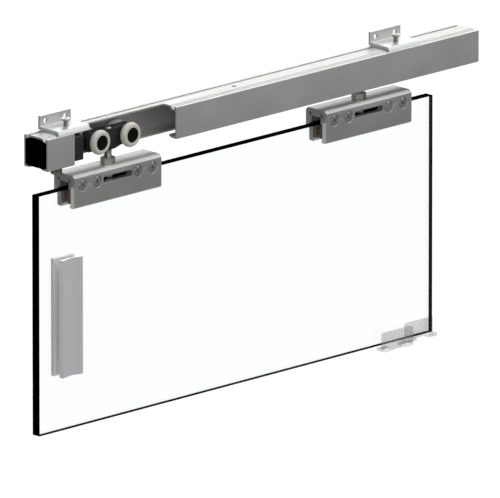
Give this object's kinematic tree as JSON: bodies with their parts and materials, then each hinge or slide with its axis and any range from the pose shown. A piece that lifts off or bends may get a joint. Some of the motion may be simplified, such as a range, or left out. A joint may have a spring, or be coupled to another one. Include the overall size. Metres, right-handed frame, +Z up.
{
  "type": "sliding door hardware set",
  "caption": "Top-hung sliding glass door hardware: track rail with cutaway, wall brackets, roller carriages, glass clamps, glass panel, pull grips and floor guides.",
  "frame": {"origin": "centre of the left wall bracket's back face, at the height of its two screw holes, where it lies on the wall", "axes": "+X along the rail to the right as seen from the room, +Y into the wall, +Z up"},
  "size_m": [0.601, 0.0341, 0.3266],
  "materials": {
    "rail_aluminium": "mill-finished extrusion, fine lengthwise die lines, satin",
    "bracket_aluminium": "anodised extrusion, satin",
    "bracket_screw_steel": "zinc-plated, slightly yellowed steel, semi-gloss",
    "stop_plastic": "moulded black nylon, fine matt",
    "buffer_rubber": "moulded black elastomer, matt",
    "stop_screw_steel": "dark zinc-plated steel, semi-gloss",
    "guide_plastic": "clear moulded polycarbonate, glossy",
    "chassis_plastic": "glass-filled black nylon, fine matt",
    "axle_steel": "ground steel pin, bright",
    "tyre_nylon": "ivory machined nylon tyre, semi-gloss",
    "hub_plastic": "black moulded hub cap, semi-matt",
    "bolt_steel": "bright zinc-plated steel",
    "nut_steel": "turned steel, satin",
    "door_glass": "clear toughened glass with dark polished edges",
    "gasket_rubber": "grey-brown elastomer strip, matt",
    "clamp_screw_steel": "stainless steel countersunk screw, satin",
    "clamp_aluminium": "grey anodised extrusion, satin",
    "grip_aluminium": "light silver anodised extrusion, satin",
    "bonding_pad": "white foam bonding tape, matt"
  },
  "bodies": {
    "rail": {"track_rail": "rail_aluminium", "wall_bracket_left": "bracket_aluminium", "wall_bracket_right": "bracket_aluminium", "bracket_screw_left": "bracket_screw_steel", "bracket_screw_right": "bracket_screw_steel", "end_stop_left": "stop_plastic", "end_stop_right": "stop_plastic", "end_stop_buffer_left": "buffer_rubber", "end_stop_buffer_right": "buffer_rubber", "end_stop_screw_left": "stop_screw_steel", "end_stop_screw_right": "stop_screw_steel", "floor_guide_front": "guide_plastic", "floor_guide_rear": "guide_plastic"},
    "carriage_left": {"chassis_left": "chassis_plastic", "axle_left_a": "axle_steel", "axle_left_b": "axle_steel"},
    "carriage_right": {"chassis_right": "chassis_plastic", "axle_right_a": "axle_steel", "axle_right_b": "axle_steel"},
    "wheel_left_front_a": {"tyre_left_front_a": "tyre_nylon", "hub_left_front_a": "hub_plastic"},
    "wheel_left_front_b": {"tyre_left_front_b": "tyre_nylon", "hub_left_front_b": "hub_plastic"},
    "wheel_left_rear_a": {"tyre_left_rear_a": "tyre_nylon", "hub_left_rear_a": "hub_plastic"},
    "wheel_left_rear_b": {"tyre_left_rear_b": "tyre_nylon", "hub_left_rear_b": "hub_plastic"},
    "wheel_right_front_a": {"tyre_right_front_a": "tyre_nylon", "hub_right_front_a": "hub_plastic"},
    "wheel_right_front_b": {"tyre_right_front_b": "tyre_nylon", "hub_right_front_b": "hub_plastic"},
    "wheel_right_rear_a": {"tyre_right_rear_a": "tyre_nylon", "hub_right_rear_a": "hub_plastic"},
    "wheel_right_rear_b": {"tyre_right_rear_b": "tyre_nylon", "hub_right_rear_b": "hub_plastic"},
    "door": {"glass_panel": "door_glass", "clamp_body_left": "clamp_aluminium", "clamp_body_right": "clamp_aluminium", "clamp_jaw_left": "clamp_aluminium", "clamp_jaw_right": "clamp_aluminium", "clamp_gasket_left_front": "gasket_rubber", "clamp_gasket_left_rear": "gasket_rubber", "clamp_gasket_right_front": "gasket_rubber", "clamp_gasket_right_rear": "gasket_rubber", "clamp_screw_left_1": "clamp_screw_steel", "clamp_screw_left_2": "clamp_screw_steel", "clamp_screw_left_3": "clamp_screw_steel", "clamp_screw_left_4": "clamp_screw_steel", "clamp_screw_right_1": "clamp_screw_steel", "clamp_screw_right_2": "clamp_screw_steel", "clamp_screw_right_3": "clamp_screw_steel", "clamp_screw_right_4": "clamp_screw_steel", "pull_grip_front": "grip_aluminium", "pull_grip_rear": "grip_aluminium", "grip_pad_front": "bonding_pad", "grip_pad_rear": "bonding_pad"},
    "bolt_left": {"suspension_bolt_left": "bolt_steel", "lock_nut_left": "nut_steel"},
    "bolt_right": {"suspension_bolt_right": "bolt_steel", "lock_nut_right": "nut_steel"}
  },
  "joints": [
    {"name": "door_slide", "type": "slide", "parent": "rail", "child": "carriage_left", "axis": [1, 0, 0], "range_m": [-0.011, 0.065]},
    {"name": "height_adjust", "type": "slide", "parent": "carriage_left", "child": "door", "axis": [0, 0, 1], "range_m": [-0.003, 0.0015]},
    {"name": "height_adjust_right", "type": "slide", "parent": "door", "child": "carriage_right", "axis": [0, 0, 1], "range_m": [-0.0015, 0.003]},
    {"name": "bolt_turn_left", "type": "hinge", "parent": "door", "child": "bolt_left", "pos_m": [0.0575, -0.0173, -0.0537], "axis": [0, 0, 1], "range_deg": [-866, 434]},
    {"name": "bolt_turn_right", "type": "hinge", "parent": "door", "child": "bolt_right", "pos_m": [0.4065, -0.0173, -0.0537], "axis": [0, 0, 1], "range_deg": [-866, 434]},
    {"name": "roll_left_front_a", "type": "hinge", "parent": "carriage_left", "child": "wheel_left_front_a", "pos_m": [0.0365, -0.02785, -0.02685], "axis": [0, 1, 0], "range_deg": [-52, 300]},
    {"name": "roll_left_front_b", "type": "hinge", "parent": "carriage_left", "child": "wheel_left_front_b", "pos_m": [0.0785, -0.02785, -0.02685], "axis": [0, 1, 0], "range_deg": [-52, 300]},
    {"name": "roll_left_rear_a", "type": "hinge", "parent": "carriage_left", "child": "wheel_left_rear_a", "pos_m": [0.0365, -0.00675, -0.02685], "axis": [0, 1, 0], "range_deg": [-52, 300]},
    {"name": "roll_left_rear_b", "type": "hinge", "parent": "carriage_left", "child": "wheel_left_rear_b", "pos_m": [0.0785, -0.00675, -0.02685], "axis": [0, 1, 0], "range_deg": [-52, 300]},
    {"name": "roll_right_front_a", "type": "hinge", "parent": "carriage_right", "child": "wheel_right_front_a", "pos_m": [0.3855, -0.02785, -0.02685], "axis": [0, 1, 0], "range_deg": [-52, 300]},
    {"name": "roll_right_front_b", "type": "hinge", "parent": "carriage_right", "child": "wheel_right_front_b", "pos_m": [0.4275, -0.02785, -0.02685], "axis": [0, 1, 0], "range_deg": [-52, 300]},
    {"name": "roll_right_rear_a", "type": "hinge", "parent": "carriage_right", "child": "wheel_right_rear_a", "pos_m": [0.3855, -0.00675, -0.02685], "axis": [0, 1, 0], "range_deg": [-52, 300]},
    {"name": "roll_right_rear_b", "type": "hinge", "parent": "carriage_right", "child": "wheel_right_rear_b", "pos_m": [0.4275, -0.00675, -0.02685], "axis": [0, 1, 0], "range_deg": [-52, 300]}
  ],
  "couplings": [
    {"joint": "height_adjust_right", "follows": "height_adjust", "ratio": -1},
    {"joint": "bolt_turn_left", "follows": "height_adjust", "rad_per_m": 5026.5},
    {"joint": "bolt_turn_right", "follows": "height_adjust", "rad_per_m": 5026.5},
    {"joint": "roll_left_front_a", "follows": "door_slide", "rad_per_m": 80},
    {"joint": "roll_left_front_b", "follows": "door_slide", "rad_per_m": 80},
    {"joint": "roll_left_rear_a", "follows": "door_slide", "rad_per_m": 80},
    {"joint": "roll_left_rear_b", "follows": "door_slide", "rad_per_m": 80},
    {"joint": "roll_right_front_a", "follows": "door_slide", "rad_per_m": 80},
    {"joint": "roll_right_front_b", "follows": "door_slide", "rad_per_m": 80},
    {"joint": "roll_right_rear_a", "follows": "door_slide", "rad_per_m": 80},
    {"joint": "roll_right_rear_b", "follows": "door_slide", "rad_per_m": 80}
  ]
}
